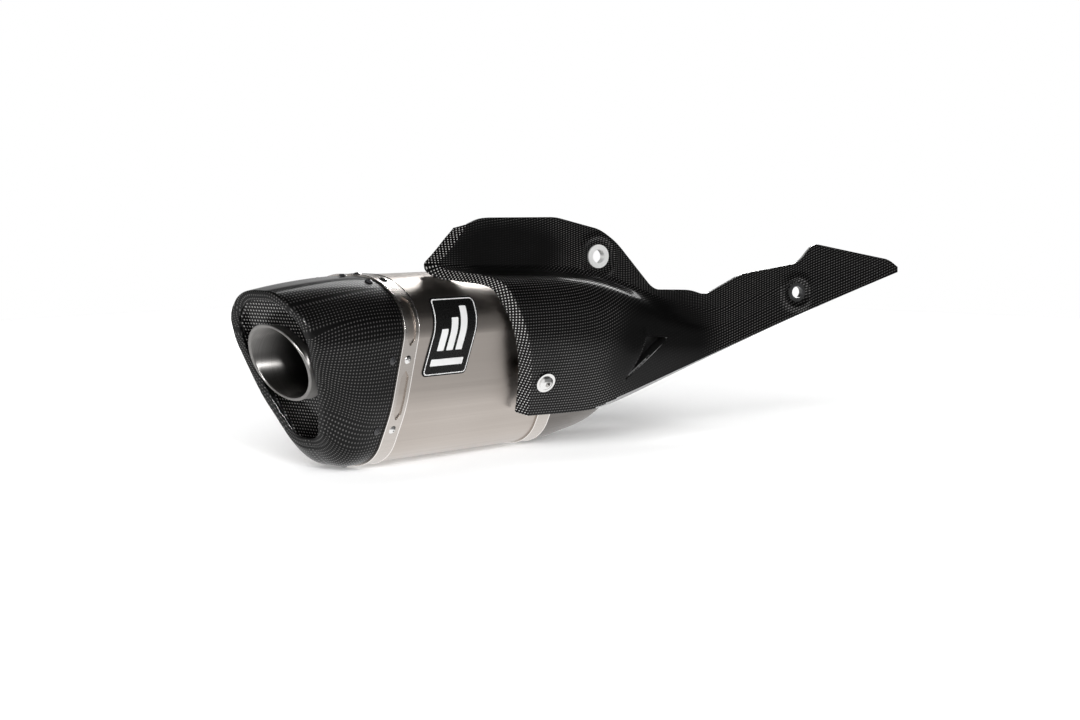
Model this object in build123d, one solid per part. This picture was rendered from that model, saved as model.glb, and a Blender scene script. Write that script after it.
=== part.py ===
from build123d import *
import math
import os

# Rear silencer of a racing exhaust, right-hand side of a motorcycle.
# It is drawn about the silencer's own axis: x runs forward from the joint between
# end cap and sleeve, y to the bike's centre line (the outer side is -y), z up.
# Every node is exported with the mouth of the inlet socket at the origin.

# ---- driving dimensions (mm) ----
SLEEVE_LENGTH = 192.0
SLEEVE_WALL = 1.2
BAND_WIDTH = 16.0
BAND_THICKNESS = 1.0
RIVET_HEAD_RADIUS = 3.2
RIVET_HEAD_HEIGHT = 1.4
RIVET_SHANK_RADIUS = 1.6

CAP_LENGTH = 68.5            # on the axis, from the joint to the slanted exit
CAP_SLANT = 0.44             # the exit plane leans back by this much per mm of height
CAP_WALL = 2.4
RIM_WALL = 7.5               # the cap's wall thickens to this at its rim
RECESS_LENGTH = 59.0         # length and slant again, for the recessed face
RECESS_SLANT = 0.53

OUTLET_RADIUS = 27.0         # outside of the outlet tube
OUTLET_WALL = 1.5
OUTLET_LENGTH = 70.6
OUTLET_SLANT = 0.5
OUTLET_LIP_RADIUS = 27.8
OUTLET_LIP_LENGTH = 2.0

CORE_RADIUS = 26.0           # outside of the perforated core
CORE_WALL = 1.2
CORE_START = 30.0
CORE_END = 312.0
CORE_HOLE_RADIUS = 3.0
CORE_HOLE_ROWS = 10
CORE_HOLES_ROUND = 8

PACKING_LENGTH = 158.0
CONE_END = 326.0             # the front cone runs from the sleeve to here
CONE_WALL = 1.5
FLANGE_WALL = 1.4
FLANGE_REACH = 14.0

SOCKET_RADIUS = 27.2         # bore that takes a 54 mm link pipe
SOCKET_WALL = 2.0
SOCKET_MOUTH = 362.0
SOCKET_DEPTH = 34.0
SLOT_LENGTH = 22.0
SLOT_WIDTH = 2.0

CLAMP_GAP = 0.1              # running gap between clamp band and socket
CLAMP_THICKNESS = 1.6
CLAMP_WIDTH = 16.0
CLAMP_CENTRE = 350.0
CLAMP_LUG_LENGTH = 17.0
CLAMP_LUG_GAP = 7.0
CLAMP_BOLT_RADIUS = 3.0
CLAMP_BOLT_CLEARANCE = 0.08

SHIELD_THICKNESS = 2.4
SHIELD_TIP = 458.0
SHIELD_BOTTOM = -53.0
LIP_LENGTH = 9.0
LIP_DROP = 7.0

HANGER_X = 225.0
HANGER_Z = 74.0
HANGER_BORE_RADIUS = 5.25
HANGER_BOSS_RADIUS = 8.75
HANGER_BOSS_REACH = 6.0

UPPER_MOUNT_X = 206.0
UPPER_MOUNT_Z = 69.0
UPPER_BORE_RADIUS = 5.25
LOWER_MOUNT_X = 375.0
LOWER_MOUNT_Z = 37.0
LOWER_BORE_RADIUS = 4.75
VENT_CORNERS = [(240.6, -94.9, 5.9), (258.7, -98.5, 4.2), (223.4, -82.4, -28.4)]
VENT_CENTRE = Vector(241, -91.9, -6.1)
VENT_OUTWARD = Vector(-0.208, -0.948, -0.242)
VENT_DEPTH = 8.0
VENT_WALL = 1.6
SCREW_POSITION = Vector(148.1, -62.2, -25.7)
SCREW_OUTWARD = Vector(-0.285, -0.862, -0.419)

# Cross-section of the sleeve: right-hand corners (y, z) from top to bottom, with the
# radius that rounds each one. The left-hand side mirrors it.
SLEEVE_CORNERS = [(22, 58.5), (46, 44), (54.5, 24), (40, -36), (21, -78.5)]
SLEEVE_RADII = [50, 35, 28, 120, 28]
# The same corners where the end cap meets its slanted exit.
EXIT_CORNERS = [(18, 51), (37.5, 33), (40, 14), (33.5, -23), (15.5, -62)]
EXIT_RADII = [30, 27, 40, 90, 18]
# How late each corner of the cap draws in between the joint and the exit.
CAP_EASING = [1.6, 1.6, 2.0, 3.0, 5.0]
# The front cone ends round; corner i of a ten-sided figure about a circle.
CONE_RADIUS = 29.2

place = Pos(-SOCKET_MOUTH, 0, 0)
os.makedirs("parts", exist_ok=True)


# ---- closed outlines ----
def inset_corners(corners, inset):
    """Corners of the closed figure after every side has moved inward by the inset."""
    result = []
    for i, corner in enumerate(corners):
        before = Vector(*corner) - Vector(*corners[i - 1])
        after = Vector(*corners[(i + 1) % len(corners)]) - Vector(*corner)
        into = [Vector(side.Y, -side.X).normalized() for side in (before, after)]
        moved = Vector(*corner) + (into[0] + into[1]) * (inset / (1 + into[0].dot(into[1])))
        result.append((moved.X, moved.Y))
    return result


def rounded(corners, radii, plane, inset=0.0):
    """Closed figure with rounded corners, mirrored about the plane's local y axis."""
    points = inset_corners(corners + [(-y, z) for y, z in reversed(corners)], inset)
    point_radii = [radius - inset for radius in radii + radii[::-1]]
    wire = FilletPolyline(*points, radius=point_radii, close=True)
    return plane * make_face(wire)


def sleeve_block(start, length, inset):
    """Solid of the sleeve's section, its sides this far inside the sleeve's skin."""
    plane = Plane(origin=(start, 0, 0), x_dir=(0, 1, 0), z_dir=(1, 0, 0))
    return extrude(rounded(SLEEVE_CORNERS, SLEEVE_RADII, plane, inset), length)


def sleeve_ring(start, length, outer, inner):
    return sleeve_block(start, length, outer) - sleeve_block(start, length, inner)


def core_rod(radius, start, end):
    """Round bar on the silencer's axis."""
    return Pos((start + end) / 2, 0, 0) * Rot(0, 90, 0) * Cylinder(radius, end - start)


def tube(radius, inner_radius, start, end):
    return core_rod(radius, start, end) - core_rod(inner_radius, start, end)


def rod(radius, point, direction, start, end):
    """Cylinder round a line, between two distances along it."""
    plane = Plane(origin=point, z_dir=direction)
    return plane * Pos(0, 0, (start + end) / 2) * Cylinder(radius, end - start)


def in_side_view(points, radii, near, far):
    """Prism across the silencer with an outline in x and z."""
    wire = FilletPolyline(*points, radius=radii, close=True)
    plane = Plane(origin=(0, near, 0), x_dir=(1, 0, 0), z_dir=(0, -1, 0))
    return extrude(plane * make_face(wire), near - far)


# ---- end cap ----
def cap_plane(part_way, length, slant):
    lean = part_way * slant
    return Plane(origin=(-part_way * length, 0, 0), x_dir=(0, 1, 0), z_dir=(1, 0, lean))


def cap_section(part_way, inset):
    stretch = math.hypot(1, part_way * CAP_SLANT)
    corners = []
    for start, end, easing in zip(SLEEVE_CORNERS, EXIT_CORNERS, CAP_EASING):
        moved = part_way**easing
        y = start[0] + (end[0] - start[0]) * moved
        z = start[1] + (end[1] - start[1]) * moved
        corners.append((y, z * stretch))
    radii = [a + (b - a) * part_way for a, b in zip(SLEEVE_RADII, EXIT_RADII)]
    return rounded(corners, radii, cap_plane(part_way, CAP_LENGTH, CAP_SLANT), inset)


def cap_solid(inset, rim_inset):
    sections = []
    for part_way in (0, 0.25, 0.5, 0.75, 0.9, 1):
        sections.append(cap_section(part_way, inset + (rim_inset - inset) * part_way**3))
    return loft(sections)


def behind(length, slant):
    """Large block behind a slanted plane of the cap."""
    plane = cap_plane(1, length, slant)
    return extrude(plane * Rectangle(300, 300), -300)


cap_cavity = cap_solid(CAP_WALL, RIM_WALL)
recess_back = behind(RECESS_LENGTH, RECESS_SLANT)
recess_front = behind(RECESS_LENGTH - SHIELD_THICKNESS, RECESS_SLANT)
outlet_front = behind(OUTLET_LENGTH, OUTLET_SLANT)
outlet_lip_front = behind(OUTLET_LENGTH - OUTLET_LIP_LENGTH, OUTLET_SLANT)

end_cap_shell = cap_solid(0, 0) - cap_cavity
end_cap_insert = (cap_cavity & recess_front) - recess_back - core_rod(OUTLET_RADIUS, -150, 50)

outlet_body = tube(OUTLET_RADIUS, OUTLET_RADIUS - OUTLET_WALL, -120, CORE_START)
outlet_lip = tube(OUTLET_LIP_RADIUS, OUTLET_RADIUS - OUTLET_WALL, -120, CORE_START)
outlet_tube = (outlet_body - outlet_front) + ((outlet_lip & outlet_lip_front) - outlet_front)

# ---- rivets, and the holes they pass through ----
def rivet_places(x, skin):
    """Point and outward normal of each rivet: top, bottom, shoulders, sides and belly."""
    top = SLEEVE_CORNERS[0]
    places = [(Vector(x, 0, top[1] + skin), Vector(0, 0, 1))]
    places.append((Vector(x, 0, SLEEVE_CORNERS[-1][1] - skin), Vector(0, 0, -1)))
    half_turn = math.atan2(top[1] - SLEEVE_CORNERS[1][1], SLEEVE_CORNERS[1][0] - top[0]) / 2
    arc_middle = top[0] - SLEEVE_RADII[0] * math.tan(half_turn)
    for side in (-1, 1):
        normal = Vector(0, side * math.sin(SHOULDER_TURN), math.cos(SHOULDER_TURN))
        centre = Vector(x, side * arc_middle, top[1] - SLEEVE_RADII[0])
        places.append((centre + normal * (SLEEVE_RADII[0] + skin), normal))
        for upper, share in ((2, 0.4), (3, 0.36)):
            start = SLEEVE_CORNERS[upper]
            end = SLEEVE_CORNERS[upper + 1]
            y = side * (start[0] + (end[0] - start[0]) * share)
            z = start[1] + (end[1] - start[1]) * share
            normal = Vector(0, side * (start[1] - end[1]), end[0] - start[0]).normalized()
            places.append((Vector(x, y, z) + normal * skin, normal))
    return places


def rivets(x, skin, reach):
    """Domed blind rivets; each shank reaches inward through what the rivet holds."""
    dome_radius = (RIVET_HEAD_RADIUS**2 + RIVET_HEAD_HEIGHT**2) / (2 * RIVET_HEAD_HEIGHT)
    result = Part()
    for point, normal in rivet_places(x, skin):
        ball = Pos(*(point + normal * (RIVET_HEAD_HEIGHT - dome_radius))) * Sphere(dome_radius)
        head = ball & rod(RIVET_HEAD_RADIUS + 1, point, normal, 0, RIVET_HEAD_HEIGHT + 1)
        mandrel = rod(0.9, point, normal, RIVET_HEAD_HEIGHT - 0.5, RIVET_HEAD_HEIGHT + 1)
        shank = rod(RIVET_SHANK_RADIUS, point, normal, -reach, 0)
        result += (head - mandrel) + shank
    return result


def rivet_holes(x):
    result = Part()
    for point, normal in rivet_places(x, 0):
        result += rod(RIVET_SHANK_RADIUS, point, normal, -8, 4)
    return result


REAR_RIVET_X = BAND_WIDTH / 2
FRONT_RIVET_X = SLEEVE_LENGTH - BAND_WIDTH / 2
CAP_RIVET_X = -7.0
SHOULDER_TURN = math.radians(21)
rear_holes = rivet_holes(REAR_RIVET_X)
front_holes = rivet_holes(FRONT_RIVET_X)
cap_holes = rivet_holes(CAP_RIVET_X)

band_rivets_rear = rivets(REAR_RIVET_X, BAND_THICKNESS, 4.5)
band_rivets_front = rivets(FRONT_RIVET_X, BAND_THICKNESS, 4.5)
cap_rivets = rivets(CAP_RIVET_X, 0.4, 4.5)

# ---- sleeve and bands ----
sleeve = sleeve_ring(0, SLEEVE_LENGTH, 0, SLEEVE_WALL) - rear_holes - front_holes


def band(start, holes):
    """Riveted strip with long windows, pointed towards the rivets, between its holes."""
    left = start + 4
    right = start + BAND_WIDTH - 4
    middle = start + BAND_WIDTH / 2
    strip = sleeve_ring(start, BAND_WIDTH, -BAND_THICKNESS, 0)
    for low, high in ((9, 46), (-45, -8)):
        points = [(left, low + 5), (middle, low), (right, low + 5)]
        points += [(right, high - 5), (middle, high), (left, high - 5)]
        window = in_side_view(points, 1.0, 90, -90)
        strip -= window
    return strip - holes


rear_band = band(0, rear_holes)
front_band = band(SLEEVE_LENGTH - BAND_WIDTH, front_holes)
end_cap_shell -= cap_holes

# ---- inner bulkhead, core and packing ----
cap_flange = cap_cavity - cap_solid(CAP_WALL + FLANGE_WALL, RIM_WALL + FLANGE_WALL)
cap_flange &= Pos(-6, 0, 0) * Box(12, 300, 300)
sleeve_flange = sleeve_ring(0, FLANGE_REACH, SLEEVE_WALL, CAP_WALL + FLANGE_WALL)
bulkhead_plate = sleeve_block(0, FLANGE_WALL, SLEEVE_WALL) - core_rod(OUTLET_RADIUS, -5, 5)
rear_bulkhead = (cap_flange + sleeve_flange + bulkhead_plate) - rear_holes - cap_holes

core_wall = tube(CORE_RADIUS, CORE_RADIUS - CORE_WALL, CORE_START, CORE_END)
perforations = Part()
for row in range(CORE_HOLE_ROWS):
    for step in range(CORE_HOLES_ROUND // 2):
        turn = 180 * 2 * step / CORE_HOLES_ROUND + 22.5 * (row % 2)
        hole = Cylinder(CORE_HOLE_RADIUS, 3 * CORE_RADIUS)
        perforations += Pos(CORE_START + 15 + 13.5 * row, 0, 0) * Rot(turn, 0, 0) * hole
perforated_core = core_wall - perforations

packing = sleeve_block(FLANGE_REACH + 1, PACKING_LENGTH, CAP_WALL + FLANGE_WALL + 0.2)
packing -= core_rod(OUTLET_RADIUS, 0, SLEEVE_LENGTH)

# ---- front cone and inlet socket ----
CONE_STATIONS = [(0, 0), (0.25, 0.05), (0.5, 0.17), (0.68, 0.4), (0.85, 0.8), (1, 1)]


def fitting_radii(corners, radii):
    """Largest radii, up to the ones wanted, that leave some straight on every edge."""
    closed = [(-corners[0][0], corners[0][1])] + corners + [(-corners[-1][0], corners[-1][1])]
    result = []
    for before, corner, after, wanted in zip(closed, corners, closed[2:], radii):
        arriving = math.dist(before, corner)
        leaving = math.dist(corner, after)
        turn = math.atan2(after[1] - corner[1], after[0] - corner[0])
        turn -= math.atan2(corner[1] - before[1], corner[0] - before[0])
        half_turn = abs((turn + math.pi) % (2 * math.pi) - math.pi) / 2
        result.append(min(wanted, 0.45 * min(arriving, leaving) / math.tan(half_turn)))
    return result


def cone_section(part_way, drawn_in, inset):
    """Sleeve section drawn in towards a ten-sided figure that is nearly a circle."""
    x = SLEEVE_LENGTH + (CONE_END - SLEEVE_LENGTH) * part_way
    reach = CONE_RADIUS / math.cos(math.pi / 10)
    corners = []
    for i, (y, z) in enumerate(SLEEVE_CORNERS):
        angle = math.pi * (i + 0.5) / 5
        y += (reach * math.sin(angle) - y) * drawn_in
        z += (reach * math.cos(angle) - z) * drawn_in
        smaller = 1 - inset / math.hypot(y, z)
        corners.append((y * smaller, z * smaller))
    radii = [a + (0.9 * CONE_RADIUS - a) * drawn_in for a in SLEEVE_RADII]
    plane = Plane(origin=(x, 0, 0), x_dir=(0, 1, 0), z_dir=(1, 0, 0))
    return rounded(corners, fitting_radii(corners, radii), plane)


def cone_solid(inset):
    return loft([cone_section(part_way, drawn_in, inset) for part_way, drawn_in in CONE_STATIONS])


cone_outside = cone_solid(0)
flange_start = SLEEVE_LENGTH - FLANGE_REACH
front_flange = sleeve_ring(flange_start, FLANGE_REACH, SLEEVE_WALL, SLEEVE_WALL + FLANGE_WALL)
front_cone = (cone_outside - cone_solid(CONE_WALL * 1.2)) + (front_flange - front_holes)

# Hanger tab on top of the cone, with a through boss for its bolt.
hanger_point = Vector(HANGER_X, 0, HANGER_Z)
across = Vector(0, 1, 0)
tab_outline = [(203, 30), (249, 30), (238, 85), (212, 85)]
hanger_bracket = in_side_view(tab_outline, [1, 1, 10, 10], 2, -2)
hanger_bracket += rod(HANGER_BOSS_RADIUS, hanger_point, across, -HANGER_BOSS_REACH, HANGER_BOSS_REACH)
hanger_bracket -= rod(HANGER_BORE_RADIUS, hanger_point, across, -10, 10)
hanger_bracket -= cone_outside

socket_outside = SOCKET_RADIUS + SOCKET_WALL
shoulder_x = SOCKET_MOUTH - SOCKET_DEPTH
inlet_socket = tube(socket_outside, SOCKET_RADIUS, CONE_END, SOCKET_MOUTH)
inlet_socket += tube(SOCKET_RADIUS, CORE_RADIUS, CORE_END - 20, shoulder_x)
for turn in (45, 135):
    slot = Box(SLOT_LENGTH * 2, SLOT_WIDTH, 3 * SOCKET_RADIUS)
    inlet_socket -= Pos(SOCKET_MOUTH, 0, 0) * Rot(turn, 0, 0) * slot

# ---- inlet clamp: band with two lugs, bolt and nut, on the side towards the bike ----
clamp_inner = socket_outside + CLAMP_GAP
clamp_outer = clamp_inner + CLAMP_THICKNESS
clamp_start = CLAMP_CENTRE - CLAMP_WIDTH / 2
clamp_end = CLAMP_CENTRE + CLAMP_WIDTH / 2
lug_top = clamp_outer + CLAMP_LUG_LENGTH
lug_thickness = 3.0
bolt_height = clamp_outer + CLAMP_LUG_LENGTH / 2
bolt_point = Vector(CLAMP_CENTRE, bolt_height, 0)
bolt_axis = Vector(0, 0, 1)
lug_outside = CLAMP_LUG_GAP / 2 + lug_thickness

clamp_band = tube(clamp_outer, clamp_inner, clamp_start, clamp_end)
lug_low = clamp_inner + 0.3
lug_size = (CLAMP_WIDTH, lug_top - lug_low, 2 * lug_outside)
clamp_band += Pos(CLAMP_CENTRE, (lug_top + lug_low) / 2, 0) * Box(*lug_size)
clamp_band -= Pos(CLAMP_CENTRE, clamp_outer, 0) * Box(20, 60, CLAMP_LUG_GAP)
clamp_band -= tube(clamp_inner, 1, clamp_start - 1, clamp_end + 1)
bolt_hole_radius = CLAMP_BOLT_RADIUS + CLAMP_BOLT_CLEARANCE
clamp_band -= rod(bolt_hole_radius, bolt_point, bolt_axis, -30, 30)

nut_height = 5.0
nut_plane = Plane(origin=bolt_point - bolt_axis * (lug_outside + nut_height), z_dir=bolt_axis)
clamp_nut = extrude(nut_plane * RegularPolygon(5.77, 6), nut_height)
clamp_nut -= rod(bolt_hole_radius, bolt_point, bolt_axis, -30, 30)

head_height = 6.0
head_low = lug_outside + 0.1
clamp_bolt = rod(CLAMP_BOLT_RADIUS, bolt_point, bolt_axis, -lug_outside - nut_height - 3, head_low)
clamp_bolt += rod(5.0, bolt_point, bolt_axis, head_low, head_low + head_height)
hex_plane = Plane(origin=bolt_point + bolt_axis * (head_low + head_height - 3), z_dir=bolt_axis)
clamp_bolt -= extrude(hex_plane * RegularPolygon(2.9, 6), 4)

# ---- carbon heat shield: cowl, ledge, wing and front plate in one moulding ----
# The section runs, with t from 0 to 1, from the lower edge up the side to the ridge, in
# along the ledge to the crease, and up the wing to its top.
RIDGE_AT = 0.55
CREASE_AT = 0.67
SHIELD_COLUMNS = 84
SHIELD_ROWS = 44

# The top edge in side view (x, z): wing, notch, bracket edge, step and front tip.
TOP_OUTLINE = [
    (100, 92), (110, 98), (122, 99.8), (170, 99.8), (208, 90), (223, 79), (254, 42),
    (285, 41), (298, 36.5), (328, 52.7), (376, 61), (388, 77), (452, 62.5), (460, 54),
]


def ramp(x, blend):
    """Zero below 0 and x above it, blended smoothly between."""
    return 0.5 * (x + math.hypot(x, blend))


def smooth(x):
    x = min(max(x, 0), 1)
    return x * x * (3 - 2 * x)


def plate_offset(x):
    """Distance of the wing and front plate from the silencer's middle plane."""
    return 22 + 0.25 * (x - 60) + 0.00045 * (x - 60) ** 2


def lower_edge(x):
    return SHIELD_BOTTOM + 0.42 * ramp(x - 208, 16)


def outline_height(x):
    """Straight runs between the points of the top outline."""
    for (x0, z0), (x1, z1) in zip(TOP_OUTLINE, TOP_OUTLINE[1:]):
        if x <= x1:
            return z0 + (z1 - z0) * max(x - x0, 0) / (x1 - x0)
    return TOP_OUTLINE[-1][1]


def top_edge(x):
    """The top outline with its corners rounded."""
    return sum(outline_height(x + shift) for shift in (-4, -2, 0, 2, 4)) / 5


def crease_height(x):
    rear = 60 - 0.41 * ramp(x - 200, 30) + 0.07 * ramp(105 - x, 10)
    front = lower_edge(x) + 2 + 26 * (1 - smooth((x - 360) / 98))
    return front + ramp(rear - front, 16)


def shield_corner(s, t):
    """Point of the shield before its ridge and crease are rounded."""
    q = 1 - t / RIDGE_AT
    on_ledge = (t - RIDGE_AT) / (CREASE_AT - RIDGE_AT)
    up_wing = (t - CREASE_AT) / (1 - CREASE_AT)
    if t <= RIDGE_AT:
        rear = 108 + 39 * q
    elif t <= CREASE_AT:
        rear = 108 - 42 * on_ledge
    else:
        rear = 66 + 37 * up_wing + 16 * up_wing * (1 - up_wing)
    x = rear + (SHIELD_TIP - rear) * s
    ledge_width = 18 * (1 - smooth((x - 150) / 160))
    belly = 16 * (1 - smooth((x - 150) / 190))
    crease = crease_height(x)
    step = 14 - 9.5 * ledge_width / 18
    ridge = crease - step * (1 - math.exp((lower_edge(x) - crease) / (1.5 * step)))
    inner = plate_offset(x)
    if t <= RIDGE_AT:
        y = inner + ledge_width * (1 - q) + belly * 4 * q * (1 - q) * (1.3 - 0.6 * q)
        z = ridge + (lower_edge(x) - ridge) * q
    elif t <= CREASE_AT:
        y = inner + ledge_width * (1 - on_ledge)
        z = ridge + (crease - ridge) * on_ledge
    else:
        y = inner
        z = crease + (top_edge(x) - crease) * up_wing
    return Vector(x, -y, z)


def shield_point(s, t):
    """Point of the shield's outer face; s runs from its rear rim to its front tip."""
    spread = min(0.035, t, 1 - t)
    taps = [shield_corner(s, t + k * spread / 2) for k in (-2, -1, 0, 1, 2)]
    return sum(taps, Vector(0, 0, 0)) / len(taps)


def shield_directions(s, t):
    """Outward normal and forward direction of the outer face."""
    step = 0.01
    ahead = shield_point(min(s + step, 1), t)
    astern = shield_point(max(s - step, 0), t)
    above = shield_point(s, min(t + step, 1))
    below = shield_point(s, max(t - step, 0))
    forward = (ahead - astern).normalized()
    outward = forward.cross(above - below).normalized()
    return outward, forward


def shield_row(t, depth):
    """The rim's turned-in lip, then the face from rear to front, this deep in the wall."""
    outward, forward = shield_directions(0, t)
    rim = shield_point(0, t)
    row = []
    for turn in range(90, 0, -15):
        angle = math.radians(turn)
        back = (LIP_LENGTH - depth) * math.sin(angle)
        drop = LIP_DROP - (LIP_DROP - depth) * math.cos(angle)
        row.append(rim - forward * back - outward * drop)
    for i in range(SHIELD_COLUMNS + 1):
        s = i / SHIELD_COLUMNS
        row.append(shield_point(s, t) - shield_directions(s, t)[0] * depth)
    return row


def shield_skin(depth):
    rows = [shield_row(i / SHIELD_ROWS, depth) for i in range(SHIELD_ROWS + 1)]
    return Face.make_surface_from_array_of_points(rows, tol=0.05)


outer_skin = shield_skin(0)
inner_skin = shield_skin(SHIELD_THICKNESS)
walls = [
    Face.make_surface_from_curves(outer_edge, inner_edge)
    for outer_edge, inner_edge in zip(outer_skin.edges(), inner_skin.edges())
]
heat_shield = Part() + Solid(Shell([outer_skin, inner_skin] + walls))

# Triangular vent in the cowl's side, moulded as a closed pocket.
vent_plane = Plane(origin=VENT_CENTRE, z_dir=VENT_OUTWARD)
vent_corners = [vent_plane.to_local_coords(Vector(*corner)) for corner in VENT_CORNERS]
vent_face = make_face(FilletPolyline(*[(p.X, p.Y) for p in vent_corners], radius=1, close=True))
pocket_bottom = vent_plane * Pos(0, 0, -VENT_DEPTH)
cup_bottom = vent_plane * Pos(0, 0, -VENT_DEPTH - VENT_WALL)
cup_face = cup_bottom * offset(vent_face, amount=VENT_WALL)
heat_shield += extrude(cup_face, VENT_DEPTH + VENT_WALL - 0.8, dir=VENT_OUTWARD)
heat_shield -= extrude(pocket_bottom * vent_face, VENT_DEPTH + 8, dir=VENT_OUTWARD)


# ---- mounts and fixings of the shield ----
def plate_frame(x, z):
    """Plane on the wing or front plate: local x forward, y up, z outward."""
    slope = 0.25 + 0.0009 * (x - 60)
    forward = Vector(1, -slope, 0).normalized()
    outward = Vector(-slope, -1, 0).normalized()
    return Plane(origin=(x, -plate_offset(x), z), x_dir=forward, z_dir=outward)


def disc(plane, radius, low, high):
    return plane * Pos(0, 0, (low + high) / 2) * Cylinder(radius, high - low)


def ring(plane, radius, inner_radius, low, high):
    return disc(plane, radius, low, high) - disc(plane, inner_radius, low, high)


BUSH_WALL = 1.25
GROMMET_WALL = 1.75
BUSH_BACK = -4.4

upper = plate_frame(UPPER_MOUNT_X, UPPER_MOUNT_Z)
upper_bush_outside = UPPER_BORE_RADIUS + BUSH_WALL
upper_hole = upper_bush_outside + GROMMET_WALL
heat_shield -= disc(upper, upper_hole, -8, 4)
upper_bush = ring(upper, upper_bush_outside, UPPER_BORE_RADIUS, BUSH_BACK, 0.3)
upper_bush += ring(upper, 9.2, UPPER_BORE_RADIUS, 0.3, 1.8)
upper_grommet = ring(upper, upper_hole, upper_bush_outside, -SHIELD_THICKNESS - 1, 0.3)
upper_grommet += ring(upper, upper_hole + 2.5, upper_bush_outside, BUSH_BACK, -2.5)

lower = plate_frame(LOWER_MOUNT_X, LOWER_MOUNT_Z)
lower_bush_outside = LOWER_BORE_RADIUS + BUSH_WALL
lower_hole = lower_bush_outside + GROMMET_WALL
heat_shield -= disc(lower, lower_hole, -8, 4)
lower_bush = ring(lower, lower_bush_outside, LOWER_BORE_RADIUS, BUSH_BACK, 0.8)
lower_grommet = ring(lower, lower_hole, lower_bush_outside, -SHIELD_THICKNESS - 1, 0.6)
lower_grommet += ring(lower, lower_hole + 2.5, lower_bush_outside, BUSH_BACK, -2.5)

screw_plane = Plane(origin=SCREW_POSITION, z_dir=SCREW_OUTWARD)
heat_shield -= screw_plane * Cylinder(4.4, 16)
shield_screw = screw_plane * Pos(0, 0, 0.9) * Cylinder(8, 1.4)
button = Pos(0, 0, -3.2) * Sphere(8) & Pos(0, 0, 3.1) * Cylinder(5.6, 3)
shield_screw += screw_plane * button
shield_screw += screw_plane * Pos(0, 0, -7) * Cylinder(3, 14.4)
shield_screw -= screw_plane * Pos(0, 0, 3.5) * extrude(RegularPolygon(2.3, 6), 2.4, both=True)
shield_grommet = ring(screw_plane, 4.4, 3, -3.2, 0.2) + ring(screw_plane, 9, 3, -5.6, -3.2)
shield_post = ring(screw_plane, 6.5, 3, -40, -5.6) - sleeve_block(60, SLEEVE_LENGTH, 0)

# ---- badge: plain plate, border line and three slanted bars ----
BADGE_THICKNESS = 0.6
INLAY_THICKNESS = 0.2
badge_layer = sleeve_ring(15, 80, -BADGE_THICKNESS, 0)
inlay_layer = sleeve_ring(15, 80, -BADGE_THICKNESS - INLAY_THICKNESS, -BADGE_THICKNESS)
badge = badge_layer & in_side_view([(26, -14.5), (74, -14.5), (82, 42.5), (34, 42.5)], 4, 0, -90)
border = in_side_view([(27.3, -13.5), (73.1, -13.5), (80.7, 41.5), (34.9, 41.5)], 3.2, 0, -90)
border -= in_side_view([(28.1, -12.8), (72.5, -12.8), (79.9, 40.8), (35.5, 40.8)], 2.6, 0, -90)
badge_inlay = inlay_layer & border
for left, top in ((38, 20), (48, 28), (58, 36)):
    lean = 0.14 * (top - 4)
    bar = [(left, 4), (left + 7, 4), (left + 7 + lean, top), (left + lean, top)]
    badge_inlay += inlay_layer & in_side_view(bar, 0.8, 0, -90)
badge_inlay += inlay_layer & in_side_view([(33, -7), (68, -7), (68.8, -2), (33.8, -2)], 0.8, 0, -90)

nodes = {
    "end_cap_shell": end_cap_shell,
    "end_cap_insert": end_cap_insert,
    "outlet_tube": outlet_tube,
    "sleeve": sleeve,
    "rear_band": rear_band,
    "front_band": front_band,
    "rear_band_rivets": band_rivets_rear,
    "front_band_rivets": band_rivets_front,
    "end_cap_rivets": cap_rivets,
    "rear_bulkhead": rear_bulkhead,
    "perforated_core": perforated_core,
    "glass_wool_packing": packing,
    "front_cone": front_cone,
    "inlet_socket": inlet_socket,
    "clamp_band": clamp_band,
    "clamp_nut": clamp_nut,
    "clamp_bolt": clamp_bolt,
    "heat_shield": heat_shield,
    "shield_screw": shield_screw,
    "shield_grommet": shield_grommet,
    "shield_post": shield_post,
    "hanger_bracket": hanger_bracket,
    "upper_bush": upper_bush,
    "upper_grommet": upper_grommet,
    "lower_bush": lower_bush,
    "lower_grommet": lower_grommet,
    "badge": badge,
    "badge_inlay": badge_inlay,
}
for node, shape in nodes.items():
    export_step(place * shape, f"parts/{node}.step")
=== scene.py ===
import math

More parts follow.
